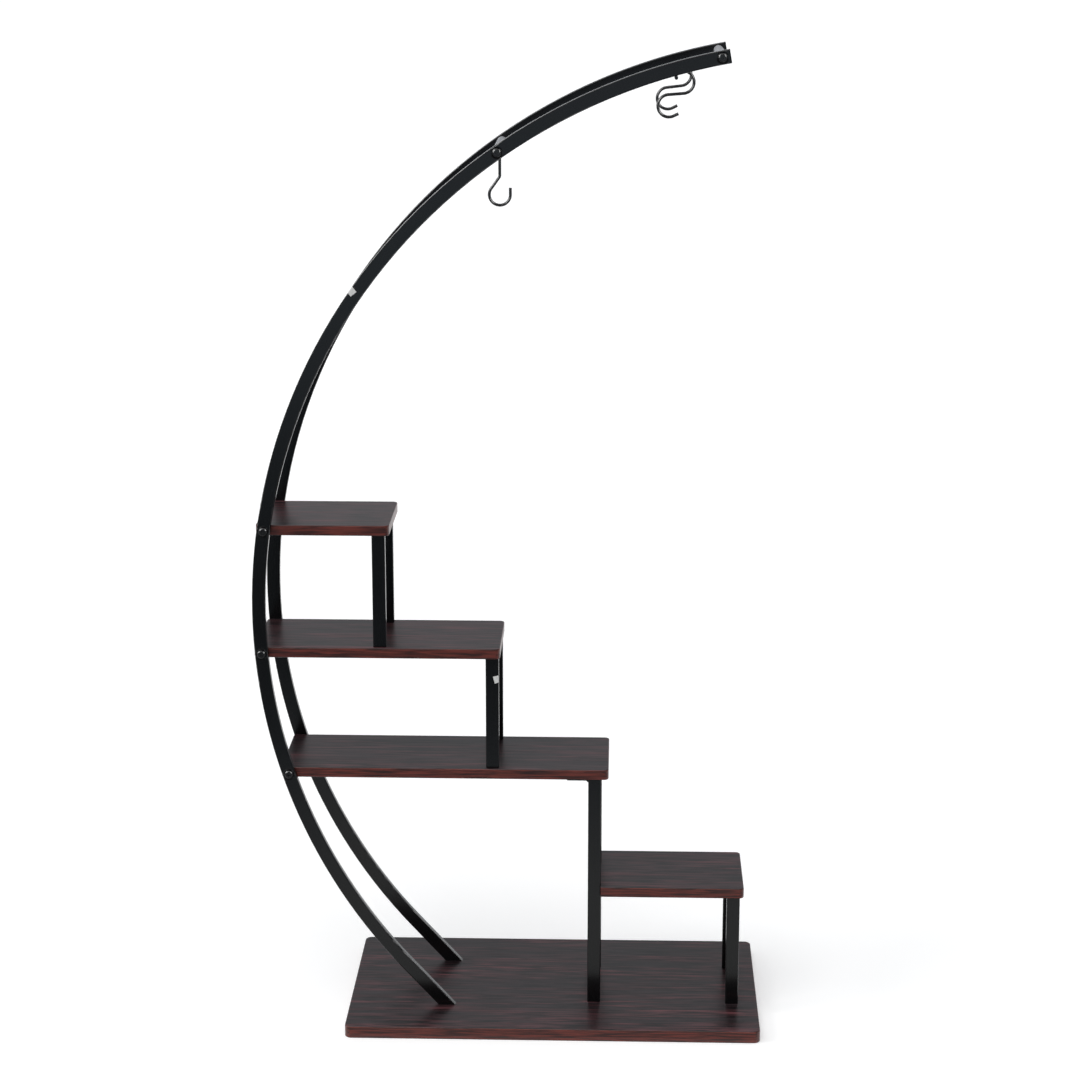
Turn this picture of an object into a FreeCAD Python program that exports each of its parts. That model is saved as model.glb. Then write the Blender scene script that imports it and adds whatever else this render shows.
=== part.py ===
"""Half-moon plant stand: five boards carried by two curved arms and four pairs of posts, with three hooks.

Millimetres, +Z up. The origin is the middle of the base board's underside, +X is to the right as seen
from the front, and +Y runs from the front to the back.
"""
import FreeCAD, Part
import math
import os

from FreeCAD import Vector

# Boards
base_length = 600.0
base_depth = 330.0
base_thick = 18.0
base_corner = 10.0
shelf_depth = 150.0
shelf_thick = 15.0
shelf_corner = 7.0
edge_round = 1.5

# Heights and ends of the shelves
side_shelf_top = 201.0
shelf_spacing = 180.0
shelf_step = 156.0
side_shelf_length = 208.5
side_shelf_inset = 23.0
shelf_end_margin = 0.5

# Flat steel tube of the arms and posts
tube_wide = 19.0
tube_thick = 10.0
tube_wall = 1.2
tube_corner = 1.5

# Arms: arcs of one circle with a straight foot, turns being counted in degrees from the top to the left
arm_radius = 793.0
arm_foot_straight = 85.0
arm_bulge = 119.0
arm_centre_height = 613.5
arm_tip_turn = 10.1
middle_spacer_turn = 34.75
hook_bar_setback = 76.5
tip_bolt_inset = 10.0
joint_above_bolt = 13.0
splice_above_joint = 60.0
splice_below_joint = 40.0
cap_flange = 1.5
cap_bolt_gap = 2.0

# Posts: inset from the shelf's right end, and set back from its front and back edges
top_post_inset = 6.5
second_post_inset = 2.0
tall_post_inset = 10.5
short_post_inset = 5.5
post_setback = 6.0
tab_thick = 3.0
tab_reach = 31.0
tab_hole_inset = 10.0
weld_leg = 3.5
arm_plug_length = 45.0

# Fasteners
bolt_radius = 3.0
bolt_head_radius = 6.1
bolt_head_height = 3.3
bolt_head_rim = 1.3
socket_sides = 6
socket_across = 4.0
socket_deep = 2.0
dish_radius = 8.6
dish_deep = 0.7
bolt_grip = 12.0
thread_spare = 4.0
insert_wall = 1.5
head_sink = 2.7
screw_radius = 2.0
screw_tip_radius = 0.5
screw_tip_length = 4.0
flat_head_radius = 4.0
round_head_radius = 3.0
round_head_height = 2.0
cross_span = 3.6
cross_wide = 0.9
cross_deep = 1.2
tab_screw_bite = 10.0
side_screw_bite = 26.0

# Round pieces between the arms
spacer_radius = 7.0
hook_bar_radius = 2.5

# Hooks of bent wire
wire_radius = 2.1
s_hook_stroke = 21.0
s_hook_bend = 15.0
s_hook_turn = 200.0
s_hook_end = 7.5
s_hook_inset = 7.0
front_hook_rest = 5.6
back_hook_rest = 4.6
long_hook_drop = 66.4
long_hook_bend = 14.7
long_hook_slope = 35.7
long_hook_end = 9.5
long_hook_kink = 5.0
long_hook_grip = 9.0

# Clearances
pass_clear = 0.3
head_clear = 0.7
fit_clear = 0.05
drill_spare = 1.0
plug_clear = 0.3
hang_gap = 0.3
swivel_clear = 0.2
weld_gap = 0.05

# How far an edge may lean and still count as running along an axis
skew_allowed = 0.001

# Places that follow from the sizes above
UP = Vector(0, 0, 1)
DEPTH = Vector(0, 1, 0)
RIGHT = Vector(1, 0, 0)
ARM_CENTRE = Vector(arm_radius - base_length / 2 - arm_bulge, 0, arm_centre_height)
third_shelf_top = side_shelf_top + shelf_spacing
second_shelf_top = third_shelf_top + shelf_spacing
top_shelf_top = second_shelf_top + shelf_spacing
side_shelf_end = base_length / 2 - side_shelf_inset
tall_post_right = side_shelf_end - side_shelf_length
third_shelf_end = tall_post_right + tall_post_inset
second_shelf_end = third_shelf_end - shelf_step
top_shelf_end = second_shelf_end - shelf_step
inner_face = shelf_depth / 2
outer_face = inner_face + tube_thick
arm_middle = inner_face + tube_thick / 2
post_middle = inner_face - post_setback - tube_thick / 2
hollow_corner = max(tube_corner - tube_wall, 0)
insert_radius = bolt_radius + insert_wall
insert_length = bolt_grip + thread_spare
plug_height = bolt_grip + thread_spare
shelf_overhang = shelf_corner + insert_radius + shelf_end_margin
counterbore_radius = bolt_head_radius + head_clear
counterbore_deep = bolt_head_height + head_sink
arm_bolt_length = tube_thick - dish_deep + bolt_grip
tab_screw_length = tab_thick + tab_screw_bite
side_screw_length = tube_wall + side_screw_bite
cap_stem = tip_bolt_inset - bolt_radius - cap_bolt_gap
SIDES = {"front": -1, "back": 1}


def arm_point(turn, radius=arm_radius):
    """Point on the arms' circle, or on one inside or outside it, in the middle plane."""
    angle = math.radians(turn)
    return ARM_CENTRE + Vector(-radius * math.sin(angle), 0, radius * math.cos(angle))


def turn_for(length):
    """Turn that a length along the arm takes up."""
    return math.degrees(length / arm_radius)


def arm_heading(turn):
    """Direction in which an arm runs on towards its foot."""
    angle = math.radians(turn)
    return Vector(-math.cos(angle), 0, -math.sin(angle))


def turn_at_height(height):
    """Turn at which the left half of the arms' circle reaches a height."""
    return math.degrees(math.acos((height - arm_centre_height) / arm_radius))


def bend_end():
    """Turn at which an arm's bend ends, so that its straight foot ends on the base board."""
    reach = math.hypot(arm_radius, arm_foot_straight)
    foot_angle = math.acos((base_thick - arm_centre_height) / reach)
    return math.degrees(foot_angle - math.atan2(arm_foot_straight, arm_radius))


def shelf_bolt_turn(shelf_top):
    """Turn of the arm bolt that goes into the middle of a shelf's edge."""
    return turn_at_height(shelf_top - shelf_thick / 2)


def placed(shape, point, direction):
    """Shape drawn along +Z from the origin, moved to a point and turned along a direction."""
    shape.Placement = FreeCAD.Placement(point, FreeCAD.Rotation(UP, direction))
    return shape


def pin(point, direction, radius, length):
    """Plain round bar."""
    return Part.makeCylinder(radius, length, point, direction)


def edges_along(shape, axis):
    """Straight edges of a shape that run along an axis."""
    found = []
    for edge in shape.Edges:
        run = edge.Vertexes[-1].Point - edge.Vertexes[0].Point
        if run.Length > 0 and run.cross(axis).Length < run.Length * skew_allowed:
            found.append(edge)
    return found


def rounded(shape, corner, axis):
    """Shape with the edges along an axis rounded, or left sharp where there is no corner radius."""
    return shape.makeFillet(corner, edges_along(shape, axis)) if corner > 0 else shape


def board(left, right, depth, top, thick, corner):
    """Board with rounded corners and eased edges."""
    blank = Part.makeBox(right - left, depth, thick, Vector(left, -depth / 2, top - thick))
    blank = rounded(blank, corner, UP)
    rims = [edge for edge in blank.Edges if edge.BoundBox.ZLength < thick / 2]
    return blank.makeFillet(edge_round, rims)


def flat_bar(left, right, front, back, bottom, top, corner):
    """Upright bar with rounded corners."""
    bar = Part.makeBox(right - left, back - front, top - bottom, Vector(left, front, bottom))
    return rounded(bar, corner, UP)


def arm_section(wide, thick, corner, side):
    """Face across the arm at the top of its circle."""
    corner_point = Vector(ARM_CENTRE.x, side * arm_middle - thick / 2, arm_point(0).z - wide / 2)
    bar = rounded(Part.makeBox(wide, thick, wide, corner_point), corner, RIGHT)
    return min(bar.Faces, key=lambda face: face.CenterOfMass.x)


def swept_arc(section, start_turn, end_turn):
    """Section carried round the arms' circle from one turn to another."""
    section.rotate(ARM_CENTRE, DEPTH, -start_turn)
    return section.revolve(ARM_CENTRE, DEPTH, start_turn - end_turn)


def straight_foot(section, start, end):
    """Section carried along an arm's straight foot, between two distances from the end of the bend."""
    section.rotate(ARM_CENTRE, DEPTH, -bend_end_turn)
    section.translate(arm_heading(bend_end_turn) * start)
    return section.extrude(arm_heading(bend_end_turn) * (end - start))


def tube_hollow_section(clear, side):
    """Face across the tube's hollow, narrower by a clearance at each edge."""
    wide = tube_wide - 2 * tube_wall - 2 * clear
    corner = 0 if clear else hollow_corner
    return arm_section(wide, tube_thick - 2 * tube_wall, corner, side)


def tube_arc(start_turn, end_turn, side):
    """Curved length of the flat tube."""
    outside = swept_arc(arm_section(tube_wide, tube_thick, tube_corner, side), start_turn, end_turn)
    hollow = swept_arc(tube_hollow_section(0, side), start_turn, end_turn)
    return outside.cut(hollow)


def tube_foot(side):
    """Straight length of the flat tube at an arm's foot, cut to the base board's top face."""
    outside = straight_foot(arm_section(tube_wide, tube_thick, tube_corner, side), 0, foot_blank_length)
    hollow = straight_foot(tube_hollow_section(0, side), 0, foot_blank_length)
    return outside.cut(hollow).cut(below_base_top())


def arm_hole(turn, side):
    """Cutter for a bolt hole through both walls of an arm, with the dish that the bolt's head sits in."""
    start = arm_point(turn) + DEPTH * (side * inner_face)
    hole = pin(start, DEPTH * side, bolt_radius + pass_clear, tube_thick)
    dish_start = start + DEPTH * (side * (tube_thick - dish_deep))
    return hole.fuse(Part.makeCone(bolt_head_radius, dish_radius, dish_deep, dish_start, DEPTH * side))


def below_base_top():
    """Cutter that trims what reaches below the base board's top face."""
    reach = 2 * arm_radius
    return Part.makeBox(2 * reach, 2 * reach, reach, Vector(-reach, -reach, base_thick - reach))


def button_bolt(seat, direction, length):
    """Button-head bolt with a hexagon socket, whose head rests on its seat."""
    head = pin(-UP * bolt_head_height, UP, bolt_head_radius, bolt_head_height)
    rim = min(head.Edges, key=lambda edge: edge.BoundBox.ZMax)
    head = head.makeFillet(bolt_head_height - bolt_head_rim, [rim])
    first = Vector(socket_across / 2 / math.cos(math.pi / socket_sides), 0, -bolt_head_height)
    corners = []
    for step in range(socket_sides + 1):
        corners.append(FreeCAD.Rotation(UP, 360 * step / socket_sides).multVec(first))
    socket = Part.Face(Part.makePolygon(corners)).extrude(UP * socket_deep)
    shank = pin(Vector(), UP, bolt_radius, length)
    return placed(head.cut(socket).fuse(shank).removeSplitter(), seat, direction)


def bolt_hole_from_below(top_point, thick):
    """Cutter for a bolt hole through a board, counterbored from below so that the head lies inside."""
    under = top_point - UP * thick
    hole = pin(under, UP, bolt_radius + pass_clear, thick)
    return hole.fuse(pin(under, UP, counterbore_radius, counterbore_deep))


def bolt_from_below(top_point, thick):
    """Bolt up through a board into the foot that stands on it."""
    seat = top_point - UP * (thick - counterbore_deep)
    return button_bolt(seat, UP, thick - counterbore_deep + bolt_grip)


def flat_head():
    """Countersunk screw head, as deep as the tab that it lies in."""
    return Part.makeCone(flat_head_radius, screw_radius, tab_thick)


def round_head():
    """Raised screw head under the origin, with its rim rounded."""
    head = pin(-UP * round_head_height, UP, round_head_radius, round_head_height)
    rim = min(head.Edges, key=lambda edge: edge.BoundBox.ZMax)
    return head.makeFillet(round_head_height / 2, [rim])


def wood_screw(head, seat, direction, length):
    """Pointed screw with a given head, which has a cross cut into it."""
    straight_length = length - screw_tip_length
    shank = pin(Vector(), UP, screw_radius, straight_length)
    tip = Part.makeCone(screw_radius, screw_tip_radius, screw_tip_length, UP * straight_length)
    screw = head.fuse([shank, tip]).removeSplitter()
    corner = Vector(-cross_span / 2, -cross_wide / 2, screw.BoundBox.ZMin)
    for turn in (0, 90):
        slot = Part.makeBox(cross_span, cross_wide, cross_deep, corner)
        slot.rotate(Vector(), UP, turn)
        screw = screw.cut(slot)
    return placed(screw, seat, direction)


def screw_hole(seat, direction, length):
    """Cutter for the hole that a wood screw cuts for itself."""
    return pin(seat, direction, screw_radius + fit_clear, length + fit_clear)


class Post:
    """One pair of upright posts: tube, welded head tab and threaded foot plug, in front and at the back."""

    def __init__(self, right, foot, shelf_top, tab_turns_left):
        self.right = right
        self.left = right - tube_wide
        self.middle = right - tube_wide / 2
        self.foot = foot
        self.head = shelf_top - shelf_thick
        self.tab_turns_left = tab_turns_left

    def tube_box(self, side, inset):
        """Left, right, front and back faces of the tube, drawn in by an inset."""
        near = side * post_middle - tube_thick / 2 + inset
        far = side * post_middle + tube_thick / 2 - inset
        return self.left + inset, self.right - inset, near, far

    def tab(self, side):
        """Welded plate that closes the tube's head and carries the screw."""
        left, right, near, far = self.tube_box(side, 0)
        if self.tab_turns_left:
            left -= tab_reach
        elif side < 0:
            far += tab_reach
        else:
            near -= tab_reach
        blank = flat_bar(left, right, near, far, self.head - tab_thick, self.head, tube_corner)
        seat = self.tab_seat(side)
        wide = flat_head_radius + fit_clear
        return blank.cut(Part.makeCone(wide, screw_radius + fit_clear, tab_thick, seat))

    def tab_seat(self, side):
        """Middle of the tab's screw hole, on the tab's underside."""
        height = self.head - tab_thick
        reach = tab_reach - tab_hole_inset
        if self.tab_turns_left:
            return Vector(self.left - reach, side * post_middle, height)
        return Vector(self.middle, side * (post_middle - tube_thick / 2 - reach), height)

    def weld(self, side):
        """Weld bead in the corner under the tab."""
        left, right, near, far = self.tube_box(side, 0)
        under = self.head - tab_thick
        if self.tab_turns_left:
            corner = Vector(left, near + tube_corner, under)
            across = RIGHT * -weld_leg
            run = DEPTH * (tube_thick - 2 * tube_corner)
        else:
            corner = Vector(left + tube_corner, far if side < 0 else near, under)
            across = DEPTH * (-side * weld_leg)
            run = RIGHT * (tube_wide - 2 * tube_corner)
        outline = [corner, corner + across, corner - UP * weld_leg, corner]
        return Part.Face(Part.makePolygon(outline)).extrude(run)

    def steel(self, side):
        """Tube with its tab and the weld between them."""
        bottom = self.foot
        top = self.head - tab_thick
        outside = flat_bar(*self.tube_box(side, 0), bottom, top, tube_corner)
        hollow = flat_bar(*self.tube_box(side, tube_wall), bottom, top, hollow_corner)
        return outside.cut(hollow).fuse([self.tab(side), self.weld(side)]).removeSplitter()

    def plug(self, side):
        """Threaded block in the tube's foot."""
        left, right, near, far = self.tube_box(side, tube_wall)
        size = right - left - 2 * plug_clear
        block = Part.makeBox(size, far - near, plug_height, Vector(left + plug_clear, near, self.foot))
        return block.cut(pin(self.foot_point(side), UP, bolt_radius + fit_clear, plug_height))

    def foot_point(self, side):
        """Middle of the foot, on the board that it stands on."""
        return Vector(self.middle, side * post_middle, self.foot)


POSTS = {
    "top": Post(top_shelf_end - top_post_inset, second_shelf_top, top_shelf_top, False),
    "second": Post(second_shelf_end - second_post_inset, third_shelf_top, second_shelf_top, False),
    "tall": Post(tall_post_right, base_thick, third_shelf_top, True),
    "short": Post(side_shelf_end - short_post_inset, base_thick, side_shelf_top, False),
}
ARM_SHELVES = {
    "top": (top_shelf_top, top_shelf_end),
    "second": (second_shelf_top, second_shelf_end),
    "third": (third_shelf_top, third_shelf_end),
}
HELD_FROM_BELOW = {"second": "top", "third": "second"}
HEAD_POST = {"top": "top", "second": "second", "third": "tall"}
tip_bolt_turn = arm_tip_turn + turn_for(tip_bolt_inset)
joint_turn = shelf_bolt_turn(top_shelf_top) - turn_for(joint_above_bolt)
bend_end_turn = bend_end()
foot_blank_length = arm_foot_straight + 2 * tube_wide


def arm_foot_bolt_point(side):
    """Where the bolt from below enters an arm's foot, so that it stays inside the leaning tube."""
    heading = arm_heading(bend_end_turn)
    foot = arm_point(bend_end_turn) + heading * arm_foot_straight
    lean = heading.x / heading.z
    return Vector(foot.x + bolt_grip * lean / 2, side * arm_middle, base_thick)


def arm_lower(side):
    """Arm from the base board to just above the top shelf's bolt."""
    arm = tube_arc(joint_turn, bend_end_turn, side).fuse(tube_foot(side)).removeSplitter()
    for shelf_top, _ in ARM_SHELVES.values():
        arm = arm.cut(arm_hole(shelf_bolt_turn(shelf_top), side))
    return arm


def arm_upper(side):
    """Arm from its joint to the tip."""
    arm = tube_arc(arm_tip_turn, joint_turn, side)
    for turn in (tip_bolt_turn, middle_spacer_turn):
        arm = arm.cut(arm_hole(turn, side))
    return arm


def arm_splice(side):
    """Bar inside the arm that carries its joint, held by the top shelf's bolt."""
    start = joint_turn - turn_for(splice_above_joint)
    end = joint_turn + turn_for(splice_below_joint)
    bar = swept_arc(tube_hollow_section(plug_clear, side), start, end)
    return bar.cut(arm_hole(shelf_bolt_turn(top_shelf_top), side))


def arm_foot_plug(side):
    """Threaded block in an arm's foot."""
    start = arm_foot_straight - arm_plug_length
    block = straight_foot(tube_hollow_section(plug_clear, side), start, foot_blank_length)
    block = block.cut(below_base_top())
    return block.cut(pin(arm_foot_bolt_point(side), UP, bolt_radius + fit_clear, bolt_grip + drill_spare))


def arm_end_cap(side):
    """Plug with a flange that closes the arm's tip."""
    flange_turn = arm_tip_turn - turn_for(cap_flange)
    stem_turn = arm_tip_turn + turn_for(cap_stem)
    flange = swept_arc(arm_section(tube_wide, tube_thick, tube_corner, side), flange_turn, arm_tip_turn)
    stem = swept_arc(tube_hollow_section(plug_clear, side), arm_tip_turn, stem_turn)
    return flange.fuse(stem).removeSplitter()


def shelf_with_arm_bolts(name):
    """Shelf whose left end is bolted between the arms."""
    top, right = ARM_SHELVES[name]
    bolt_place = arm_point(shelf_bolt_turn(top))
    shelf = board(bolt_place.x - shelf_overhang, right, shelf_depth, top, shelf_thick, shelf_corner)
    for side in SIDES.values():
        edge = bolt_place + DEPTH * (side * inner_face)
        shelf = shelf.cut(pin(edge, DEPTH * -side, insert_radius + fit_clear, insert_length))
        shelf = shelf.cut(screw_hole(POSTS[HEAD_POST[name]].tab_seat(side), UP, tab_screw_length))
        if name in HELD_FROM_BELOW:
            foot = POSTS[HELD_FROM_BELOW[name]].foot_point(side)
            shelf = shelf.cut(bolt_hole_from_below(foot, shelf_thick))
    return shelf


def side_screw_seat(side):
    """Where the head of a side shelf's screw rests, inside the tall post on its right wall."""
    return Vector(tall_post_right - tube_wall, side * post_middle, side_shelf_top - shelf_thick / 2)


def shelf_side():
    """Low shelf between the tall posts and the short posts, sawn square where it meets the tall ones."""
    offcut_length = shelf_corner + edge_round
    left = tall_post_right - offcut_length
    shelf = board(left, side_shelf_end, shelf_depth, side_shelf_top, shelf_thick, shelf_corner)
    offcut_corner = Vector(left, -shelf_depth / 2, side_shelf_top - shelf_thick)
    shelf = shelf.cut(Part.makeBox(offcut_length, shelf_depth, shelf_thick, offcut_corner))
    for side in SIDES.values():
        shelf = shelf.cut(screw_hole(POSTS["short"].tab_seat(side), UP, tab_screw_length))
        shelf = shelf.cut(screw_hole(side_screw_seat(side), RIGHT, side_screw_length))
    return shelf


def base_bolt_points():
    """Where bolts come up through the base board, on its top face."""
    points = []
    for side in SIDES.values():
        points.append(arm_foot_bolt_point(side))
        points.append(POSTS["tall"].foot_point(side))
        points.append(POSTS["short"].foot_point(side))
    return points


def base_board():
    """Base board with counterbored holes from below."""
    base = board(-base_length / 2, base_length / 2, base_depth, base_thick, base_thick, base_corner)
    for point in base_bolt_points():
        base = base.cut(bolt_hole_from_below(point, base_thick))
    return base


def post_steel(name, side):
    """Post, with the tall ones drilled for the side shelf's screws, which go in through the left wall."""
    steel = POSTS[name].steel(side)
    if name == "tall":
        seat = side_screw_seat(side)
        way_in = seat - RIGHT * (tube_wide - tube_wall)
        steel = steel.cut(pin(seat, RIGHT, screw_radius + pass_clear, tube_wall))
        steel = steel.cut(pin(way_in, RIGHT, round_head_radius + pass_clear, tube_wall))
    return steel


def base_bolts():
    """Bolts from below into the feet that stand on the base board."""
    return Part.makeCompound([bolt_from_below(point, base_thick) for point in base_bolt_points()])


def shelf_post_bolts():
    """Bolts from below through the second and third shelves into the posts on them."""
    bolts = []
    for post_name in HELD_FROM_BELOW.values():
        for side in SIDES.values():
            bolts.append(bolt_from_below(POSTS[post_name].foot_point(side), shelf_thick))
    return Part.makeCompound(bolts)


def outer_seat(turn, side):
    """Where a bolt's head rests in the dish of an arm's outer face."""
    return arm_point(turn) + DEPTH * (side * (outer_face - dish_deep))


def arm_bolts():
    """Bolts through the arms into the shelves' edges."""
    bolts = []
    for shelf_top, _ in ARM_SHELVES.values():
        for side in SIDES.values():
            seat = outer_seat(shelf_bolt_turn(shelf_top), side)
            bolts.append(button_bolt(seat, DEPTH * -side, arm_bolt_length))
    return Part.makeCompound(bolts)


def shelf_inserts():
    """Threaded inserts in the shelves' edges."""
    inserts = []
    for shelf_top, _ in ARM_SHELVES.values():
        for side in SIDES.values():
            edge = arm_point(shelf_bolt_turn(shelf_top)) + DEPTH * (side * inner_face)
            barrel = pin(edge, DEPTH * -side, insert_radius, insert_length)
            inserts.append(barrel.cut(pin(edge, DEPTH * -side, bolt_radius + fit_clear, insert_length)))
    return Part.makeCompound(inserts)


def spacer(turn):
    """Round spacer between the arms, with a threaded hole in each end."""
    rod = pin(arm_point(turn) - DEPTH * inner_face, DEPTH, spacer_radius, shelf_depth)
    for side in SIDES.values():
        end = arm_point(turn) + DEPTH * (side * inner_face)
        rod = rod.cut(pin(end, DEPTH * -side, bolt_radius + fit_clear, bolt_grip + drill_spare))
    return rod


def long_hook_seat():
    """Where the long hook's shank enters the middle spacer, on the spacer's underside."""
    return arm_point(middle_spacer_turn) - UP * spacer_radius


def spacer_middle():
    """Middle spacer, with the hole from below that the long hook turns in."""
    hole_deep = long_hook_grip + drill_spare
    hole = pin(long_hook_seat(), UP, wire_radius + swivel_clear, hole_deep)
    return spacer(middle_spacer_turn).cut(hole)


def spacer_bolts():
    """Bolts through the arms into the spacers' ends."""
    bolts = []
    for turn in (tip_bolt_turn, middle_spacer_turn):
        for side in SIDES.values():
            bolts.append(button_bolt(outer_seat(turn, side), DEPTH * -side, arm_bolt_length))
    return Part.makeCompound(bolts)


def tab_screws():
    """Wood screws through the posts' tabs into the shelves above."""
    screws = []
    for post in POSTS.values():
        for side in SIDES.values():
            screws.append(wood_screw(flat_head(), post.tab_seat(side), UP, tab_screw_length))
    return Part.makeCompound(screws)


def side_shelf_screws():
    """Long screws from inside the tall posts into the side shelf's end."""
    screws = []
    for side in SIDES.values():
        screws.append(wood_screw(round_head(), side_screw_seat(side), RIGHT, side_screw_length))
    return Part.makeCompound(screws)


def post_foot_plugs():
    """Threaded blocks of all the posts."""
    return Part.makeCompound([post.plug(side) for post in POSTS.values() for side in SIDES.values()])


def hook_bar_point():
    """Middle of the bar that the S hooks hang on, against the arms' undersides."""
    turn = arm_tip_turn + turn_for(hook_bar_setback)
    return arm_point(turn, arm_radius - tube_wide / 2 - weld_gap - hook_bar_radius)


def hook_bar():
    """Bar welded across the undersides of both arms."""
    return pin(hook_bar_point() - DEPTH * outer_face, DEPTH, hook_bar_radius, 2 * outer_face)


def at_angle(centre, radius, angle):
    """Point on a circle in an upright plane, with the angle counted from the right."""
    turned = math.radians(angle)
    return centre + Vector(radius * math.cos(turned), 0, radius * math.sin(turned))


def bend(centre, radius, start, end):
    """Arc edge in an upright plane between two angles."""
    middle = (start + end) / 2
    points = [at_angle(centre, radius, angle) for angle in (start, middle, end)]
    return Part.Arc(*points).toShape()


def straight(start, end):
    """Straight edge."""
    return Part.LineSegment(start, end).toShape()


def bent_wire(edges):
    """Round wire along a path."""
    path = Part.Wire(edges)
    start = path.OrderedVertexes[0].Point
    first = path.OrderedEdges[0]
    heading = first.tangentAt(first.FirstParameter)
    section = Part.Wire(Part.Edge(Part.Circle(start, heading, wire_radius)))
    return path.makePipeShell([section], True, False).Solids[0]


def hung(hook, point):
    """Hook turned about its bar until its centre of mass is under the bar."""
    offset = hook.CenterOfMass - point
    hook.rotate(point, DEPTH, math.degrees(math.atan2(offset.x, -offset.z)))
    return hook


def s_hook(rest, side):
    """S hook near one arm, resting on the bar with its upper end, at a distance past the bend."""
    place = side * (inner_face - s_hook_inset)
    middle = Vector(0, place, 0)
    rise = UP * s_hook_bend
    upper = middle + RIGHT * (s_hook_stroke / 2) + rise
    lower = middle - RIGHT * (s_hook_stroke / 2) - rise
    last = s_hook_turn - 90
    heading = at_angle(Vector(), 1, last + 90)
    upper_end = at_angle(upper, s_hook_bend, last)
    lower_end = at_angle(lower, s_hook_bend, last - 180)
    edges = [
        straight(lower_end - heading * s_hook_end, lower_end),
        bend(lower, s_hook_bend, last + 180, 90),
        straight(lower + rise, upper - rise),
        bend(upper, s_hook_bend, -90, last),
        straight(upper_end, upper_end + heading * s_hook_end),
    ]
    drop = wire_radius + hang_gap + hook_bar_radius
    contact = upper_end + heading * rest - at_angle(Vector(), 1, last) * drop
    bar = hook_bar_point() + DEPTH * place
    hook = bent_wire(edges)
    hook.translate(bar - contact)
    return hung(hook, bar)


def kink_edges(before, corner, after):
    """Straight run to a small rounded corner, with the corner's arc and its far end."""
    back = (before - corner).normalize()
    ahead = (after - corner).normalize()
    half = back.getAngle(ahead) / 2
    setback = long_hook_kink / math.tan(half)
    middle = corner + (back + ahead).normalize() * (long_hook_kink / math.sin(half) - long_hook_kink)
    start = corner + back * setback
    end = corner + ahead * setback
    return straight(before, start), Part.Arc(start, middle, end).toShape(), end


def long_hook():
    """Hook with a straight shank that turns in the middle spacer's underside."""
    bowl = arm_point(middle_spacer_turn) - UP * long_hook_drop
    neck = bowl + UP * (long_hook_bend / math.sin(math.radians(long_hook_slope)))
    side = at_angle(bowl, long_hook_bend, 0)
    meet = at_angle(bowl, long_hook_bend, 180 - long_hook_slope)
    shank, kink, kink_end = kink_edges(long_hook_seat() + UP * long_hook_grip, neck, meet)
    edges = [
        shank,
        kink,
        straight(kink_end, meet),
        bend(bowl, long_hook_bend, 180 - long_hook_slope, 360),
        straight(side, side + UP * long_hook_end),
    ]
    return bent_wire(edges)


def build():
    """All the pieces by name."""
    pieces = {
        "base_board": base_board(),
        "shelf_side": shelf_side(),
        "spacer_middle": spacer_middle(),
        "spacer_tip": spacer(tip_bolt_turn),
        "hook_bar": hook_bar(),
        "hook_long": long_hook(),
        "hook_s_front": s_hook(front_hook_rest, SIDES["front"]),
        "hook_s_back": s_hook(back_hook_rest, SIDES["back"]),
        "arm_bolts": arm_bolts(),
        "spacer_bolts": spacer_bolts(),
        "shelf_inserts": shelf_inserts(),
        "base_bolts": base_bolts(),
        "shelf_post_bolts": shelf_post_bolts(),
        "tab_screws": tab_screws(),
        "side_shelf_screws": side_shelf_screws(),
        "post_foot_plugs": post_foot_plugs(),
    }
    for name in ARM_SHELVES:
        pieces[f"shelf_{name}"] = shelf_with_arm_bolts(name)
    for side_name, side in SIDES.items():
        pieces[f"arm_lower_{side_name}"] = arm_lower(side)
        pieces[f"arm_upper_{side_name}"] = arm_upper(side)
        pieces[f"arm_splice_{side_name}"] = arm_splice(side)
        pieces[f"arm_foot_plug_{side_name}"] = arm_foot_plug(side)
        pieces[f"arm_end_cap_{side_name}"] = arm_end_cap(side)
        for post_name in POSTS:
            pieces[f"post_{post_name}_{side_name}"] = post_steel(post_name, side)
    return pieces


os.makedirs("parts", exist_ok=True)
for piece_name, shape in build().items():
    shape.exportStep(f"parts/{piece_name}.step")
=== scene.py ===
"""Half-moon plant stand: its finishes, two blank paper labels and a white studio.

Metres, +Z up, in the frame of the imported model: the origin is the middle of the base board's underside,
+X is to the right as seen from the front, and +Y runs from the front to the back.
"""
import logging
import math
from dataclasses import dataclass, field
from enum import Enum
from typing import Any

import bpy
from mathutils import Matrix, Vector


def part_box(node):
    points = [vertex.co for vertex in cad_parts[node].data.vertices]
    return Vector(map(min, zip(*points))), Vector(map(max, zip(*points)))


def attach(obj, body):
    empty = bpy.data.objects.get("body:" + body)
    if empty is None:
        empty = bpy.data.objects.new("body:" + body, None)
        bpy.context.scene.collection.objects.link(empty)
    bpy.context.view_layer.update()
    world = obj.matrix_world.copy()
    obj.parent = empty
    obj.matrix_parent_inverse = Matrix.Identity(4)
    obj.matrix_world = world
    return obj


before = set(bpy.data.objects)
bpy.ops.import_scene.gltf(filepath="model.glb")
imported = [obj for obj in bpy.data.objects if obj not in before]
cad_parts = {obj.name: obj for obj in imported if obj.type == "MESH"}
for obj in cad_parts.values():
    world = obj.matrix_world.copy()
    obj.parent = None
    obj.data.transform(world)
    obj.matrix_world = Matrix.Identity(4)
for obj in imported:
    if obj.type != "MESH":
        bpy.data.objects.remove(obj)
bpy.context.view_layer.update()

log = logging.getLogger("plant_stand")

MM = 0.001
STAND = "stand"

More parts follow.
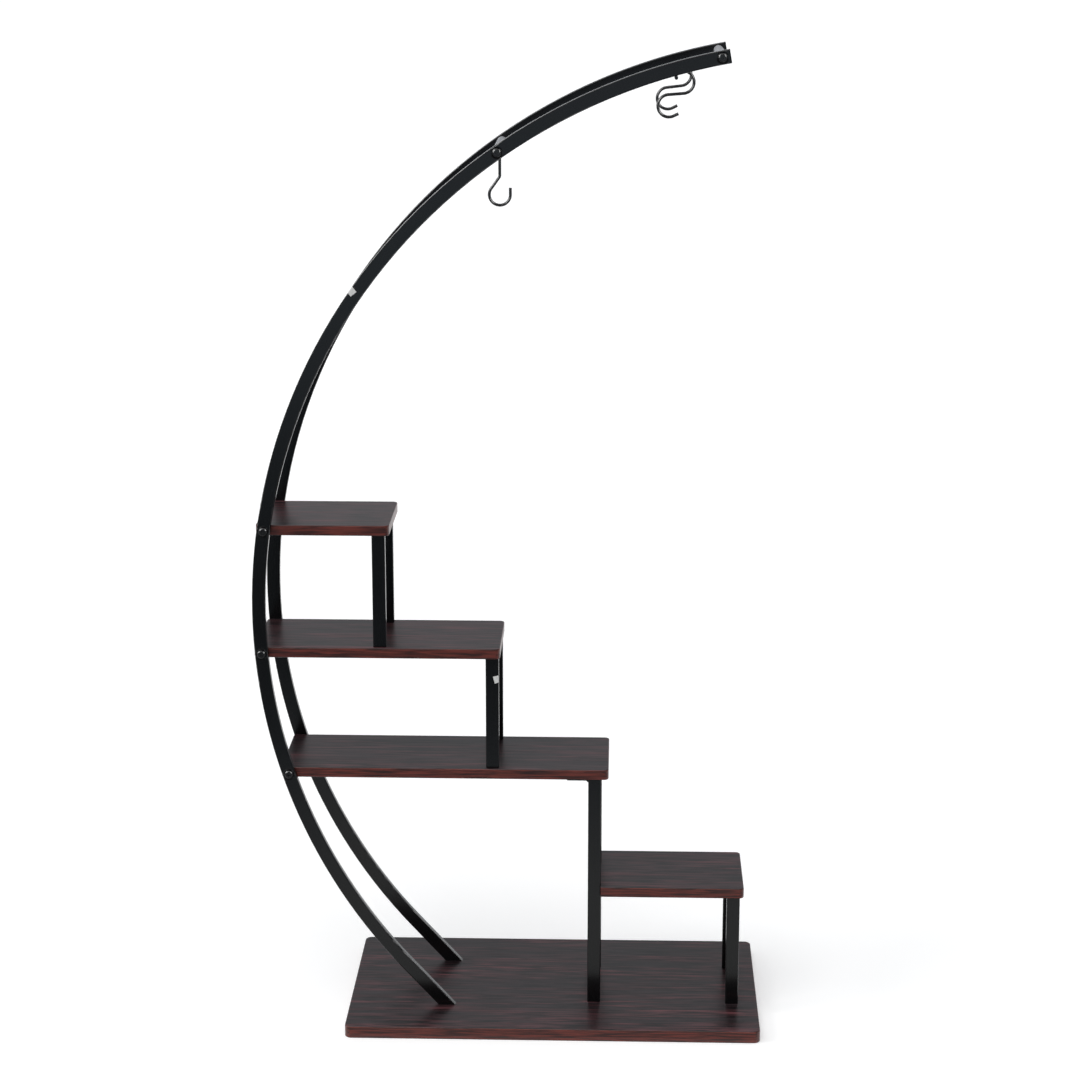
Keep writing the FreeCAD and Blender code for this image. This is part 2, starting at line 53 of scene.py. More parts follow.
# Sockets of a Mix node, which has one pair of inputs for each kind of value
MIX_SHARE = 0
MIX_VECTOR_A, MIX_VECTOR_B, MIX_VECTOR_OUT = 4, 5, 1
MIX_COLOUR_A, MIX_COLOUR_B, MIX_COLOUR_OUT = 6, 7, 2

# Settings that many nodes share
SMOOTH = {"interpolation_type": "SMOOTHSTEP"}
COLOURS = {"data_type": "RGBA"}


class Side(Enum):
    """The two sides of the stand that mirror each other."""

    FRONT = "front"
    BACK = "back"


class Shine(Enum):
    """What a lamp lights: everything, or some pieces alone, and those with highlights only."""

    EVERYTHING = "everything"
    STEEL = "steel_that_shines"
    SMALL_STEEL = "small_round_steel"


def linear(hex_colour: str) -> tuple[float, float, float, float]:
    """Turns an sRGB hex value into a linear colour.

    Args:
        hex_colour: Six hex digits, with or without a leading hash sign.

    Returns:
        Red, green, blue and an alpha of one.
    """
    digits = hex_colour.lstrip("#")
    channels = [int(digits[place : place + 2], 16) / 255 for place in (0, 2, 4)]
    red, green, blue = (c / 12.92 if c <= 0.04045 else ((c + 0.055) / 1.055) ** 2.4 for c in channels)
    return red, green, blue, 1.0


def add_node(
    tree: bpy.types.NodeTree,
    kind: str,
    settings: dict[str, Any] | None = None,
    inputs: dict[str | int, Any] | None = None,
) -> bpy.types.Node:
    """Adds a node with its settings and links.

    Args:
        tree: Node tree that gets the node.
        kind: Blender's name of the node.
        settings: Properties of the node by name.
        inputs: What goes into each input, by the socket's name or number. A socket is linked, and any
            other value is set.

    Returns:
        The new node.
    """
    node = tree.nodes.new(kind)
    for name, value in (settings or {}).items():
        setattr(node, name, value)
    for socket, value in (inputs or {}).items():
        if isinstance(value, bpy.types.NodeSocket):
            tree.links.new(value, node.inputs[socket])
        else:
            node.inputs[socket].default_value = value
    return node


def per_mm(*sizes: float) -> tuple[float, ...]:
    """Turns sizes of a pattern into its scales.

    Args:
        sizes: Sizes in millimetres.

    Returns:
        Repeats per metre for each size.
    """
    return tuple(1 / (size * MM) for size in sizes)


class Finish:
    """A finish that makes one material."""

    title = ""

    def shade(self, tree: bpy.types.NodeTree, shader: bpy.types.Node) -> None:
        """Sets the shader's own sockets and links its patterns.

        Args:
            tree: The material's node tree.
            shader: Its principled shader.
        """
        raise NotImplementedError

    def material(self) -> bpy.types.Material:
        """Makes the material.

        Returns:
            The new material, named for what the surface is.
        """
        made = bpy.data.materials.new(self.title)
        made.use_nodes = True
        self.shade(made.node_tree, made.node_tree.nodes["Principled BSDF"])
        return made


@dataclass(frozen=True)
class Grain:
    """One printed pattern: noise that is stretched along the board.

    Attributes:
        length: Its size along the board, in millimetres.
        width: Its size across the board, in millimetres.
        detail: How many finer layers of noise it has.
        bend: How far its lines wander.
        starts: Level of noise at which it begins to show.
        full: Level of noise from which it shows most.
        most: How much of it shows then.
    """

    length: float
    width: float
    detail: int
    bend: float
    starts: float
    full: float
    most: float = 1.0


@dataclass(frozen=True)
class WalnutFilm(Finish):
    """Printed walnut film on chipboard: dark pores along reddish lines, redder bands and a satin face."""

    title: str = "walnut_film_pressed_on_board"
    dark: str = "#2f2528"
    warm: str = "#693d41"
    band_dark: str = "#361713"
    band_warm: str = "#743127"
    black: str = "#070506"
    # The printed lines are finer than this on the real film: they are drawn wide enough to show
    line: Grain = Grain(180.0, 7.0, 4, 0.5, 0.40, 0.64)
    figure: Grain = Grain(300.0, 32.0, 2, 1.2, 0.36, 0.68)
    pore: Grain = Grain(60.0, 2.6, 3, 0.2, 0.43, 0.58, 0.96)
    fibre: Grain = Grain(55.0, 2.2, 4, 0.3, 0.38, 0.62)
    least_warmth: float = 0.4
    end_starts: float = 0.6
    end_full: float = 0.8
    band_starts: float = 0.85
    band_full: float = 0.55
    relief: float = 0.03
    smoothest: float = 0.28
    roughest: float = 0.40

    def shade(self, tree: bpy.types.NodeTree, shader: bpy.types.Node) -> None:
        """Prints the grain along each board, and along the bands on its ends.

        Args:
            tree: The material's node tree.
            shader: Its principled shader.
        """
        place = add_node(tree, "ShaderNodeTexCoord")
        facing = add_node(tree, "ShaderNodeSeparateXYZ", {}, {"Vector": place.outputs["Normal"]})
        sideways = add_node(tree, "ShaderNodeMath", {"operation": "ABSOLUTE"}, {0: facing.outputs["X"]})
        upright = add_node(tree, "ShaderNodeMath", {"operation": "ABSOLUTE"}, {0: facing.outputs["Z"]})
        on_end = add_node(
            tree, "ShaderNodeMapRange", SMOOTH,
            {"Value": sideways.outputs[0], "From Min": self.end_starts, "From Max": self.end_full},
        )
        turned = add_node(
            tree, "ShaderNodeMapping", {},
            {"Vector": place.outputs["Object"], "Rotation": (0, 0, math.pi / 2)},
        )
        along = add_node(
            tree, "ShaderNodeMix", {"data_type": "VECTOR"},
            {MIX_SHARE: on_end.outputs[0], MIX_VECTOR_A: place.outputs["Object"],
             MIX_VECTOR_B: turned.outputs[0]},
        ).outputs[MIX_VECTOR_OUT]

        noises, shares = {}, {}
        grains = {"line": self.line, "figure": self.figure, "pore": self.pore, "fibre": self.fibre}
        for name, grain in grains.items():
            stretched = add_node(
                tree, "ShaderNodeMapping", {},
                {"Vector": along, "Scale": per_mm(grain.length, grain.width, grain.width)},
            )
            noises[name] = add_node(
                tree, "ShaderNodeTexNoise", {},
                {"Vector": stretched.outputs[0], "Scale": 1.0, "Detail": grain.detail,
                 "Distortion": grain.bend},
            ).outputs["Fac"]
            shares[name] = add_node(
                tree, "ShaderNodeMapRange", SMOOTH,
                {"Value": noises[name], "From Min": grain.starts, "From Max": grain.full,
                 "To Max": grain.most},
            ).outputs[0]
        warmth = add_node(
            tree, "ShaderNodeMath", {"operation": "MULTIPLY_ADD"},
            {0: shares["figure"], 1: 1 - self.least_warmth, 2: self.least_warmth},
        )
        warm_share = add_node(
            tree, "ShaderNodeMath", {"operation": "MULTIPLY", "use_clamp": True},
            {0: shares["line"], 1: warmth.outputs[0]},
        )
        on_band = add_node(
            tree, "ShaderNodeMapRange", SMOOTH,
            {"Value": upright.outputs[0], "From Min": self.band_starts, "From Max": self.band_full},
        )
        face = add_node(
            tree, "ShaderNodeMix", COLOURS,
            {MIX_SHARE: warm_share.outputs[0], MIX_COLOUR_A: linear(self.dark),
             MIX_COLOUR_B: linear(self.warm)},
        )
        pored = add_node(
            tree, "ShaderNodeMix", COLOURS,
            {MIX_SHARE: shares["pore"], MIX_COLOUR_A: face.outputs[MIX_COLOUR_OUT],
             MIX_COLOUR_B: linear(self.black)},
        )
        band = add_node(
            tree, "ShaderNodeMix", COLOURS,
            {MIX_SHARE: shares["fibre"], MIX_COLOUR_A: linear(self.band_dark),
             MIX_COLOUR_B: linear(self.band_warm)},
        )
        printed = add_node(
            tree, "ShaderNodeMix", COLOURS,
            {MIX_SHARE: on_band.outputs[0], MIX_COLOUR_A: pored.outputs[MIX_COLOUR_OUT],
             MIX_COLOUR_B: band.outputs[MIX_COLOUR_OUT]},
        )
        sheen = add_node(
            tree, "ShaderNodeMapRange", {},
            {"Value": noises["line"], "To Min": self.smoothest, "To Max": self.roughest},
        )
        relief = add_node(
            tree, "ShaderNodeBump", {},
            {"Strength": 1.0, "Distance": self.relief * MM, "Height": shares["line"]},
        )
        tree.links.new(printed.outputs[MIX_COLOUR_OUT], shader.inputs["Base Color"])
        tree.links.new(sheen.outputs[0], shader.inputs["Roughness"])
        tree.links.new(relief.outputs[0], shader.inputs["Normal"])


@dataclass(frozen=True)
class PowderCoat(Finish):
    """Baked black powder coat on steel: near black, softly shiny, with a faint orange peel.

    Sizes are in millimetres.
    """

    title: str = "black_powder_coat_baked"
    deep: str = "#050506"
    pale: str = "#0c0c0e"
    cloud: float = 55.0
    peel: float = 2.2
    peel_depth: float = 0.002
    peel_strength: float = 0.4
    specular: float = 0.5
    smoothest: float = 0.17
    roughest: float = 0.23

    def shade(self, tree: bpy.types.NodeTree, shader: bpy.types.Node) -> None:
        """Gives the coat its slow change of depth and its peel.

        Args:
            tree: The material's node tree.
            shader: Its principled shader.
        """
        place = add_node(tree, "ShaderNodeTexCoord").outputs["Object"]
        cloud = add_node(
            tree, "ShaderNodeTexNoise", {},
            {"Vector": place, "Scale": per_mm(self.cloud)[0], "Detail": 3},
        ).outputs["Fac"]
        # The real peel is about 1 mm wide: on the tubes it is drawn wider so that it shows
        peel = add_node(
            tree, "ShaderNodeTexNoise", {},
            {"Vector": place, "Scale": per_mm(self.peel)[0], "Detail": 1},
        ).outputs["Fac"]
        depth = add_node(
            tree, "ShaderNodeMix", COLOURS,
            {MIX_SHARE: cloud, MIX_COLOUR_A: linear(self.deep), MIX_COLOUR_B: linear(self.pale)},
        )
        sheen = add_node(
            tree, "ShaderNodeMapRange", {},
            {"Value": cloud, "To Min": self.smoothest, "To Max": self.roughest},
        )
        relief = add_node(
            tree, "ShaderNodeBump", {},
            {"Strength": self.peel_strength, "Distance": self.peel_depth * MM, "Height": peel},
        )
        tree.links.new(depth.outputs[MIX_COLOUR_OUT], shader.inputs["Base Color"])
        tree.links.new(sheen.outputs[0], shader.inputs["Roughness"])
        tree.links.new(relief.outputs[0], shader.inputs["Normal"])
        shader.inputs["Specular IOR Level"].default_value = self.specular


@dataclass(frozen=True)
class PlatedSteel(Finish):
    """Electroplated steel: a cloudy metal whose small crystals give a dull speckle.

    Sizes are in millimetres.
    """

    title: str = "zinc_plated_steel"
    dull: str = "#7d7e83"
    bright: str = "#a9aaae"
    crystal: float = 2.5
    cloud: float = 12.0
    metallic: float = 1.0
    smoothest: float = 0.42
    roughest: float = 0.62

    def shade(self, tree: bpy.types.NodeTree, shader: bpy.types.Node) -> None:
        """Speckles the plating.

        Args:
            tree: The material's node tree.
            shader: Its principled shader.
        """
        place = add_node(tree, "ShaderNodeTexCoord").outputs["Object"]
        # Real crystals are well under 1 mm wide: they are drawn wide enough to show
        crystal = add_node(
            tree, "ShaderNodeTexVoronoi", {},
            {"Vector": place, "Scale": per_mm(self.crystal)[0]},
        )
        cloud = add_node(
            tree, "ShaderNodeTexNoise", {},
            {"Vector": place, "Scale": per_mm(self.cloud)[0], "Detail": 4},
        )
        speckle = add_node(tree, "ShaderNodeSeparateColor", {}, {"Color": crystal.outputs["Color"]})
        share = add_node(
            tree, "ShaderNodeMath", {"operation": "MULTIPLY"},
            {0: speckle.outputs[0], 1: cloud.outputs["Fac"]},
        )
        tone = add_node(
            tree, "ShaderNodeMix", COLOURS,
            {MIX_SHARE: share.outputs[0], MIX_COLOUR_A: linear(self.dull),
             MIX_COLOUR_B: linear(self.bright)},
        )
        sheen = add_node(
            tree, "ShaderNodeMapRange", {},
            {"Value": cloud.outputs["Fac"], "To Min": self.smoothest, "To Max": self.roughest},
        )
        tree.links.new(tone.outputs[MIX_COLOUR_OUT], shader.inputs["Base Color"])
        tree.links.new(sheen.outputs[0], shader.inputs["Roughness"])
        shader.inputs["Metallic"].default_value = self.metallic


@dataclass(frozen=True)
class LabelPaper(Finish):
    """Coated white label paper: bright, matt and a little cloudy from its fibres.

    Sizes are in millimetres.
    """

    title: str = "white_label_paper_coated"
    white: str = "#f1f1ef"
    grey: str = "#dcdcda"
    fibre: float = 1.6
    roughness: float = 0.62

    def shade(self, tree: bpy.types.NodeTree, shader: bpy.types.Node) -> None:
        """Clouds the paper.

        Args:
            tree: The material's node tree.
            shader: Its principled shader.
        """
        place = add_node(tree, "ShaderNodeTexCoord").outputs["Object"]
        fibre = add_node(
            tree, "ShaderNodeTexNoise", {},
            {"Vector": place, "Scale": per_mm(self.fibre)[0], "Detail": 4},
        ).outputs["Fac"]
        tone = add_node(
            tree, "ShaderNodeMix", COLOURS,
            {MIX_SHARE: fibre, MIX_COLOUR_A: linear(self.grey), MIX_COLOUR_B: linear(self.white)},
        )
        tree.links.new(tone.outputs[MIX_COLOUR_OUT], shader.inputs["Base Color"])
        shader.inputs["Roughness"].default_value = self.roughness


@dataclass(frozen=True)
class WhitePaper(Finish):
    """White background paper: matt, with a glow where it is seen or mirrored, so that it looks white."""

    title: str = "white_paper_sweep"
    colour: str = "#e0e0e0"
    glow: float = 0.45
    roughness: float = 0.9

    def shade(self, tree: bpy.types.NodeTree, shader: bpy.types.Node) -> None:
        """Lets the paper glow to every ray but those that carry its light to the stand.

        Args:
            tree: The material's node tree.
            shader: Its principled shader.
        """
        shader.inputs["Base Color"].default_value = linear(self.colour)
        shader.inputs["Roughness"].default_value = self.roughness
        shader.inputs["Specular IOR Level"].default_value = 0.0
        ray = add_node(tree, "ShaderNodeLightPath")
        seen = add_node(
            tree, "ShaderNodeMath", {"operation": "MAXIMUM"},
            {0: ray.outputs["Is Camera Ray"], 1: ray.outputs["Is Glossy Ray"]},
        )
        shown = add_node(
            tree, "ShaderNodeMath", {"operation": "MAXIMUM"},
            {0: seen.outputs[0], 1: ray.outputs["Is Transmission Ray"]},
        )
        glow = add_node(
            tree, "ShaderNodeMath", {"operation": "MULTIPLY"}, {0: shown.outputs[0], 1: self.glow}
        )
        shader.inputs["Emission Color"].default_value = (1, 1, 1, 1)
        tree.links.new(glow.outputs[0], shader.inputs["Emission Strength"])


@dataclass(frozen=True)
class PaintedReflectionSheet(Finish):
    """Matt sheet whose glow paints reflections on the stand: pale near the stand, dark in the middle and
    paler far off.

    Places along the sheet are in metres, on the frame's Y axis.
    """

    title: str = "painted_reflection_sheet_matt"
    near_tint: tuple[float, float, float, float] = (0.98, 1.0, 1.0, 1.0)
    far_tint: tuple[float, float, float, float] = (0.85, 1.0, 1.12, 1.0)
    near_level: float = 0.57
    middle_level: float = 0.10
    far_level: float = 0.48
    near_ends: float = -0.35
    middle_starts: float = -1.75
    middle_ends: float = -3.30
    far_starts: float = -5.30
    roughness: float = 0.9

    def shade(self, tree: bpy.types.NodeTree, shader: bpy.types.Node) -> None:
        """Grades the glow along the sheet, which is the painted reflection.

        Args:
            tree: The material's node tree.
            shader: Its principled shader.
        """
        shader.inputs["Base Color"].default_value = (0, 0, 0, 1)
        shader.inputs["Roughness"].default_value = self.roughness
        shader.inputs["Specular IOR Level"].default_value = 0.0
        place = add_node(tree, "ShaderNodeTexCoord")
        spot = add_node(tree, "ShaderNodeSeparateXYZ", {}, {"Vector": place.outputs["Object"]})
        away = add_node(
            tree, "ShaderNodeMapRange", SMOOTH,
            {"Value": spot.outputs["Y"], "From Min": self.near_ends, "From Max": self.middle_starts},
        )
        fall = add_node(
            tree, "ShaderNodeMapRange", {},
            {"Value": away.outputs[0], "To Min": self.near_level, "To Max": self.middle_level},
        )
        rise = add_node(
            tree, "ShaderNodeMapRange", SMOOTH,
            {"Value": spot.outputs["Y"], "From Min": self.middle_ends, "From Max": self.far_starts,
             "To Max": self.far_level - self.middle_level},
        )
        level = add_node(
            tree, "ShaderNodeMath", {"operation": "ADD"}, {0: fall.outputs[0], 1: rise.outputs[0]}
        )
        tint = add_node(
            tree, "ShaderNodeMix", COLOURS,
            {MIX_SHARE: away.outputs[0], MIX_COLOUR_A: self.near_tint, MIX_COLOUR_B: self.far_tint},
        )
        # Painted reflection: this glow is what the steel and boards mirror of the floor and room in front
        tree.links.new(tint.outputs[MIX_COLOUR_OUT], shader.inputs["Emission Color"])
        tree.links.new(level.outputs[0], shader.inputs["Emission Strength"])


def dress(node: str, material: bpy.types.Material) -> None:
    """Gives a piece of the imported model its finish.

    Args:
        node: The piece's name.
        material: The finish.
    """
    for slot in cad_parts[node].material_slots:
        slot.material = material
    log.info("%s: %s", node, material.name)


def on_both_sides(*names: str) -> list[str]:
    """Names the pieces that stand both in front and at the back.

    Args:
        names: What the two pieces of each pair are called.

    Returns:
        The names of all these pieces.
    """
    return [f"{name}_{side.value}" for name in names for side in Side]


@dataclass
class Boards:
    """Base board and the four shelves."""

    nodes: tuple[str, ...] = ("base_board", "shelf_top", "shelf_second", "shelf_third", "shelf_side")
    film: WalnutFilm = field(default_factory=WalnutFilm)

    def build(self) -> None:
        """Wraps every board in the film."""
        material = self.film.material()
        for node in self.nodes:
            dress(node, material)


@dataclass
class SteelFrame:
    """Curved arms, posts and the bar that the S hooks hang on."""

    pairs: tuple[str, ...] = (
        "arm_lower", "arm_upper", "post_top", "post_second", "post_tall", "post_short",
    )
    bar: str = "hook_bar"
    caps: str = "arm_end_cap"
    coat: PowderCoat = field(default_factory=PowderCoat)
    # Moulded polythene: matt, and a little greyer than the coat
    plastic: PowderCoat = PowderCoat(
        title="black_polythene_moulded", deep="#0d0d0e", pale="#151516", peel=1.4, specular=0.25,
        smoothest=0.45, roughest=0.55,
    )

    def build(self) -> None:
        """Coats the steel and dresses the plastic caps in the arms' tips."""
        coat = self.coat.material()
        for node in [*on_both_sides(*self.pairs), self.bar]:
            dress(node, coat)
        plastic = self.plastic.material()
        for node in on_both_sides(self.caps):
            dress(node, plastic)


@dataclass
class Fittings:
    """Spacers, bolts, screws and what is hidden inside the tubes and boards."""

    spacers: tuple[str, ...] = ("spacer_middle", "spacer_tip")
    bolts: tuple[str, ...] = ("arm_bolts", "spacer_bolts", "base_bolts", "shelf_post_bolts")
    hidden: tuple[str, ...] = ("shelf_inserts", "tab_screws", "side_shelf_screws", "post_foot_plugs")
    hidden_pairs: tuple[str, ...] = ("arm_splice", "arm_foot_plug")
    # Dull galvanising is mostly oxide: an even pale grey that mirrors little
    spacer_metal: PlatedSteel = PlatedSteel(
        title="galvanised_steel_dull", dull="#8b8d91", bright="#a3a5a9", metallic=0.15
    )
    # Bright zinc: pale and half shiny
    zinc: PlatedSteel = PlatedSteel(dull="#9b9a94", bright="#c4c4c6", smoothest=0.28, roughest=0.42)
    # Oiled black oxide: near black with small sharp glints
    black: PowderCoat = PowderCoat(
        title="black_oxide_steel_oiled", deep="#0a0a0b", pale="#141416", cloud=6.0, peel=1.0,
        smoothest=0.18, roughest=0.26,
    )

    def build(self) -> None:
        """Dresses each fitting in its plating."""
        spacer_metal = self.spacer_metal.material()
        for node in self.spacers:
            dress(node, spacer_metal)
        black = self.black.material()
        for node in self.bolts:
            dress(node, black)
        zinc = self.zinc.material()
        for node in [*self.hidden, *on_both_sides(*self.hidden_pairs)]:
            dress(node, zinc)


@dataclass
class Hooks:
    """Long hook in the middle spacer and the two S hooks on their bar."""

    nodes: tuple[str, ...] = ("hook_long", "hook_s_front", "hook_s_back")
    # Dipped coat: black with soft grey streaks along the wire
    wire: PowderCoat = PowderCoat(
        title="black_dipped_wire", deep="#0c0c0e", pale="#19191b", cloud=9.0, peel=1.2,
        smoothest=0.18, roughest=0.26,
    )

    def build(self) -> None:
        """Dresses the bent wire."""
        material = self.wire.material()
        for node in self.nodes:
            dress(node, material)


@dataclass
class PaperLabel:
    """Blank label stuck askew on a tube's front face and folded round the tube's rounded edge.

    The label is modelled on an upright tube whose front face is y = 0 and whose right side is x = 0. It is
    then turned about +Y and moved to its place.
    """

    name: str
    place: Vector
    turn: float
    tilt: float
    width: float
    height: float
    inset: float
    edge_radius: float = 1.5 * MM
    glue: float = 0.03 * MM
    thick: float = 0.12 * MM
    columns: int = 40
    rows: int = 24
    smooth_up_to: float = math.radians(40)

    def folded(self, flat: Vector) -> Vector:
        """Folds a point of the flat label round the tube's edge.

        Args:
            flat: The point on the front face, or past its edge.

        Returns:
            The point on the tube.
        """
        past = flat.x + self.edge_radius
        quarter = self.edge_radius * math.pi / 2
        if past <= 0:
            return Vector((flat.x, -self.glue, flat.z))
        if past >= quarter:
            return Vector((self.glue, self.edge_radius + past - quarter, flat.z))
        angle = past / self.edge_radius
        reach = self.edge_radius + self.glue
        across = reach * math.sin(angle) - self.edge_radius
        return Vector((across, self.edge_radius - reach * math.cos(angle), flat.z))

    def build(self, material: bpy.types.Material) -> None:
        """Models the label, with its place in its mesh.

        Args:
            material: Its paper.
        """
        bpy.ops.object.select_all(action="DESELECT")
        bpy.ops.mesh.primitive_grid_add(x_subdivisions=self.columns, y_subdivisions=self.rows, size=1)
        label = bpy.context.object
        label.name = self.name
        label.scale = (self.width, self.height, 1)
        bpy.ops.object.transform_apply(location=True, rotation=True, scale=True)
        label.matrix_world = (
            Matrix.Translation((-self.inset, 0, 0))
            @ Matrix.Rotation(-self.tilt, 4, "Y")
            @ Matrix.Rotation(math.pi / 2, 4, "X")
        )
        bpy.ops.object.transform_apply(location=True, rotation=True, scale=True)
        for vertex in label.data.vertices:
            vertex.co = self.folded(vertex.co)
        wall = label.modifiers.new("thickness", "SOLIDIFY")
        wall.thickness = self.thick
        wall.offset = 1
        bpy.ops.object.modifier_apply(modifier=wall.name)
        label.matrix_world = Matrix.Translation(self.place) @ Matrix.Rotation(self.turn, 4, "Y")
        bpy.ops.object.transform_apply(location=True, rotation=True, scale=True)
        bpy.ops.object.shade_smooth_by_angle(angle=self.smooth_up_to)
        label.data.materials.append(material)
        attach(label, STAND)
        log.info("%s: %s", label.name, material.name)


@dataclass
class Labels:
    """The two blank labels: one on the front arm, one on the front post of the second shelf."""

    paper: LabelPaper = field(default_factory=LabelPaper)
    arm_centre: Vector = field(default_factory=lambda: Vector((374 * MM, 0, 613.5 * MM)))
    arm_outside: float = 802.5 * MM
    arm_front: float = -85 * MM
    arm_turn: float = math.radians(54.7)
    arm_tilt: float = math.radians(-17)
    post: str = "post_second_front"
    post_height: float = 514.5 * MM
    post_tilt: float = math.radians(15)

    def build(self) -> None:
        """Models both labels on what carries them."""
        material = self.paper.material()
        outward = Vector((-math.sin(self.arm_turn), 0, math.cos(self.arm_turn)))
        on_arm = self.arm_centre + outward * self.arm_outside
        on_arm.y = self.arm_front
        PaperLabel(
            "label_arm", on_arm, -math.pi / 2 - self.arm_turn, self.arm_tilt,
            width=13 * MM, height=10.4 * MM, inset=1.5 * MM,
        ).build(material)
        lowest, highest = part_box(self.post)
        PaperLabel(
            "label_post", Vector((highest.x, lowest.y, self.post_height)), 0.0, self.post_tilt,
            width=8 * MM, height=10.5 * MM, inset=3.2 * MM,
        ).build(material)


@dataclass(frozen=True)
class Lamp:
    """A broad lamp far away.

    Attributes:
        name: Its name.
        aim: Where its light goes.
        strength: Its light on a surface that faces it, in watts per square metre.
        width: How wide it looks from the stand, in degrees.
        shine: What it lights.
    """

    name: str
    aim: tuple[float, float, float]
    strength: float
    width: float
    shine: Shine = Shine.EVERYTHING


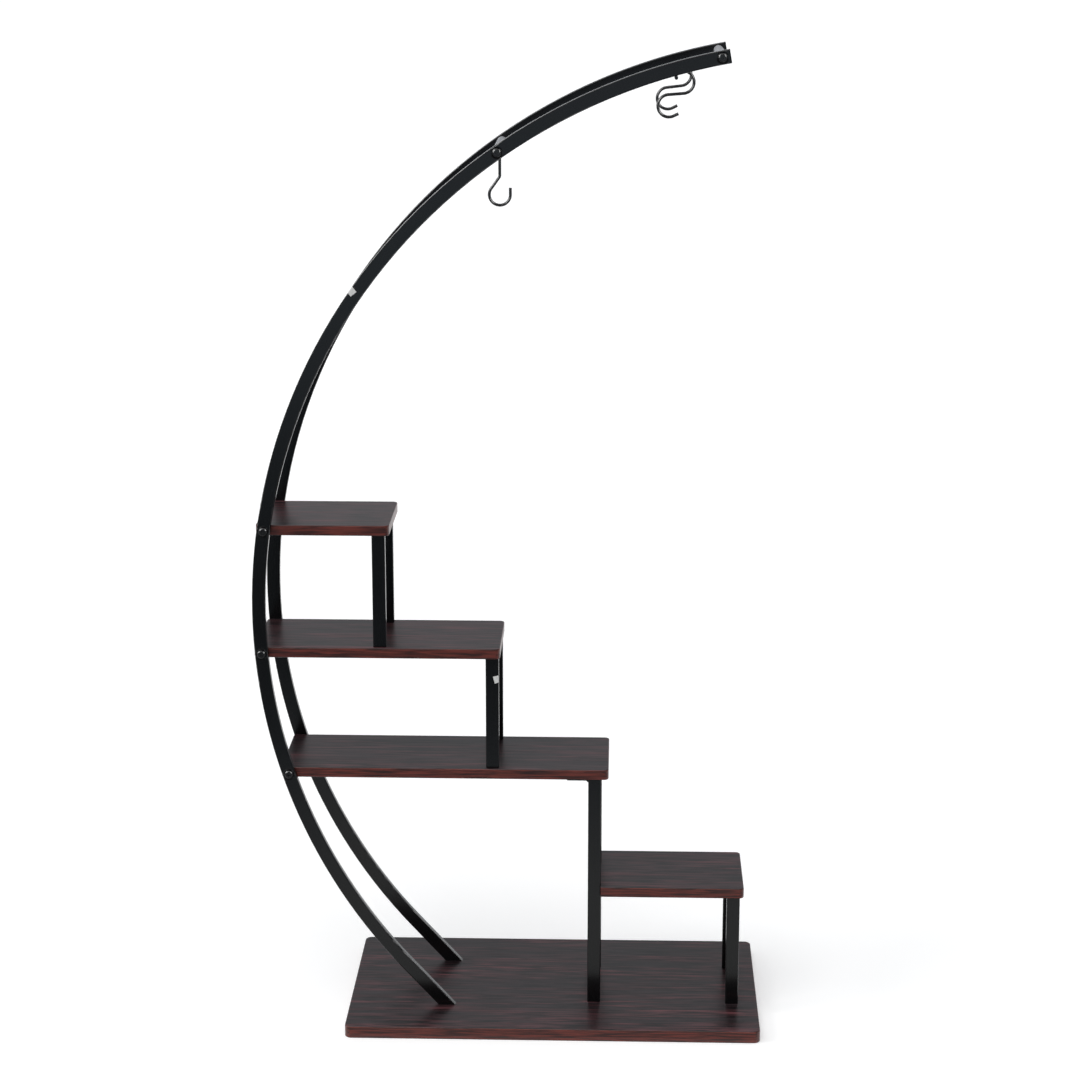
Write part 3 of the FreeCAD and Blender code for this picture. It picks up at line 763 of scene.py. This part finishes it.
@dataclass
class Studio:
    """White floor, pale surroundings and soft lamps."""

    floor_half: float = 150.0
    paper: WhitePaper = WhitePaper()
    horizon: float = 1.0
    wall: float = 0.265
    ceiling: float = 0.44
    horizon_ends: float = math.sin(math.radians(4))
    wall_starts: float = math.sin(math.radians(11))
    wall_ends: float = math.sin(math.radians(15))
    ceiling_starts: float = math.sin(math.radians(26))
    air: tuple[float, float, float, float] = (0.965, 0.99, 1.03, 1.0)
    front_share: float = 0.3
    front_ends: float = -0.35
    back_starts: float = 0.15
    sheet_half: float = 75.0
    sheet_lift: float = 0.003
    sheet_back: float = -0.17
    # Painted reflections: a glowing sheet that only glossy rays see
    graded: PaintedReflectionSheet = PaintedReflectionSheet()
    # The last four give highlights: they leave out what would mirror them as pale patches
    lamps: tuple[Lamp, ...] = (
        Lamp("key_overhead", (0.25, 0.45, -1.0), 1.5, 50),
        Lamp("fill_left", (0.9, 0.25, -0.6), 0.7, 18),
        Lamp("rim_left", (0.82, 0.0, -0.55), 4.5, 50, Shine.STEEL),
        Lamp("rim_right", (-0.75, -0.1, -0.65), 4.0, 50, Shine.STEEL),
        Lamp("box_left", (0.50, 0.83, -0.25), 3.5, 25, Shine.SMALL_STEEL),
        Lamp("box_right", (-0.55, 0.78, -0.30), 3.5, 25, Shine.SMALL_STEEL),
    )

    def plane(
        self, name: str, half: float, middle: tuple[float, float, float], finish: Finish
    ) -> bpy.types.Object:
        """Models a level square.

        Args:
            name: Its name.
            half: Half of its side, in metres.
            middle: Where its middle is.
            finish: What it is made of.

        Returns:
            The square, with its place in its mesh.
        """
        bpy.ops.object.select_all(action="DESELECT")
        bpy.ops.mesh.primitive_plane_add(size=2 * half, location=middle)
        plane = bpy.context.object
        plane.name = name
        bpy.ops.object.transform_apply(location=True, rotation=True, scale=True)
        plane.data.materials.append(finish.material())
        return plane

    def floor(self) -> None:
        """Lays the floor, which looks white and still takes the stand's shadow."""
        floor = self.plane("studio_floor", self.floor_half, (0, 0, 0), self.paper)

    def surroundings(self) -> None:
        """Makes the surroundings white at the horizon, greyer above it and dimmer in front."""
        world = bpy.data.worlds.new("studio_surroundings")
        world.use_nodes = True
        bpy.context.scene.world = world
        tree = world.node_tree
        place = add_node(tree, "ShaderNodeTexCoord")
        heading = add_node(tree, "ShaderNodeSeparateXYZ", {}, {"Vector": place.outputs["Generated"]})
        low = add_node(
            tree, "ShaderNodeMapRange", SMOOTH,
            {"Value": heading.outputs["Z"], "From Min": self.horizon_ends, "From Max": self.wall_starts,
             "To Min": self.horizon, "To Max": self.wall},
        )
        high = add_node(
            tree, "ShaderNodeMapRange", SMOOTH,
            {"Value": heading.outputs["Z"], "From Min": self.wall_ends, "From Max": self.ceiling_starts,
             "To Max": self.ceiling - self.wall},
        )
        level = add_node(
            tree, "ShaderNodeMath", {"operation": "ADD"}, {0: low.outputs[0], 1: high.outputs[0]}
        )
        share = add_node(
            tree, "ShaderNodeMapRange", SMOOTH,
            {"Value": heading.outputs["Y"], "From Min": self.front_ends, "From Max": self.back_starts,
             "To Min": self.front_share},
        )
        strength = add_node(
            tree, "ShaderNodeMath", {"operation": "MULTIPLY"}, {0: level.outputs[0], 1: share.outputs[0]}
        )
        background = tree.nodes["Background"]
        background.inputs["Color"].default_value = self.air
        tree.links.new(strength.outputs[0], background.inputs["Strength"])

    def sheet(self) -> None:
        """Lays a graded sheet on the floor in front, which shows in reflections only: its glow is a
        painted reflection and lights nothing.
        """
        middle = (0, self.sheet_back - self.sheet_half, self.sheet_lift)
        sheet = self.plane("painted_reflection_sheet", self.sheet_half, middle, self.graded)
        # Only glossy rays see the sheet: it paints reflections and casts no light or shadow
        sheet.visible_camera = False
        sheet.visible_diffuse = False
        sheet.visible_transmission = False
        sheet.visible_shadow = False

    def gather(self, shine: Shine, names: list[str]) -> bpy.types.Collection:
        """Gathers the pieces that some lamps light alone.

        Args:
            shine: What the pieces are.
            names: The pieces' names.

        Returns:
            The pieces, in a collection outside the scene.
        """
        gathered = bpy.data.collections.new(shine.value)
        for name in names:
            gathered.objects.link(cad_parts[name])
        return gathered

    def light(self) -> None:
        """Hangs the lamps."""
        steel = [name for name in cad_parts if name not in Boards.nodes]
        receivers = {
            Shine.STEEL: self.gather(Shine.STEEL, steel),
            Shine.SMALL_STEEL: self.gather(Shine.SMALL_STEEL, [*Fittings.bolts, *Hooks.nodes]),
        }
        for lamp in self.lamps:
            data = bpy.data.lights.new(lamp.name, "SUN")
            data.energy = lamp.strength
            data.angle = math.radians(lamp.width)
            hung = bpy.data.objects.new(lamp.name, data)
            hung.rotation_mode = "QUATERNION"
            hung.rotation_quaternion = Vector(lamp.aim).to_track_quat("-Z", "Y")
            if lamp.shine in receivers:
                hung.visible_diffuse = False
                hung.light_linking.receiver_collection = receivers[lamp.shine]
            bpy.context.scene.collection.objects.link(hung)

    def build(self) -> None:
        """Sets up the studio."""
        self.floor()
        self.surroundings()
        self.sheet()
        self.light()
        bpy.context.scene.view_settings.view_transform = "Standard"


@dataclass
class PhotoCamera:
    """Camera at the photograph's place and angle."""

    place: tuple[float, float, float] = (0.09409, -3.61273, 1.62248)
    yaw: float = -0.03218
    pitch: float = 0.24901
    roll: float = -0.00018
    lens: float = 86.4825
    sensor: float = 36.0

    def build(self) -> None:
        """Sets up the scene's camera."""
        ahead = Vector((
            math.sin(self.yaw) * math.cos(self.pitch),
            math.cos(self.yaw) * math.cos(self.pitch),
            -math.sin(self.pitch),
        ))
        level = Vector((math.cos(self.yaw), -math.sin(self.yaw), 0))
        above = level.cross(ahead)
        right = level * math.cos(self.roll) + above * math.sin(self.roll)
        up = above * math.cos(self.roll) - level * math.sin(self.roll)
        data = bpy.data.cameras.new("photo_camera")
        data.lens = self.lens
        data.sensor_width = self.sensor
        camera = bpy.data.objects.new("photo_camera", data)
        turned = Matrix((right, up, -ahead)).transposed().to_4x4()
        camera.matrix_world = Matrix.Translation(self.place) @ turned
        bpy.context.scene.collection.objects.link(camera)
        bpy.context.scene.camera = camera


def main() -> None:
    """Builds the studio and dresses the stand."""
    logging.basicConfig(level=logging.INFO, format="%(name)s: %(message)s")
    PhotoCamera().build()
    Studio().build()
    for assembly in (Boards(), SteelFrame(), Fittings(), Hooks(), Labels()):
        assembly.build()


if __name__ == "__main__":
    main()
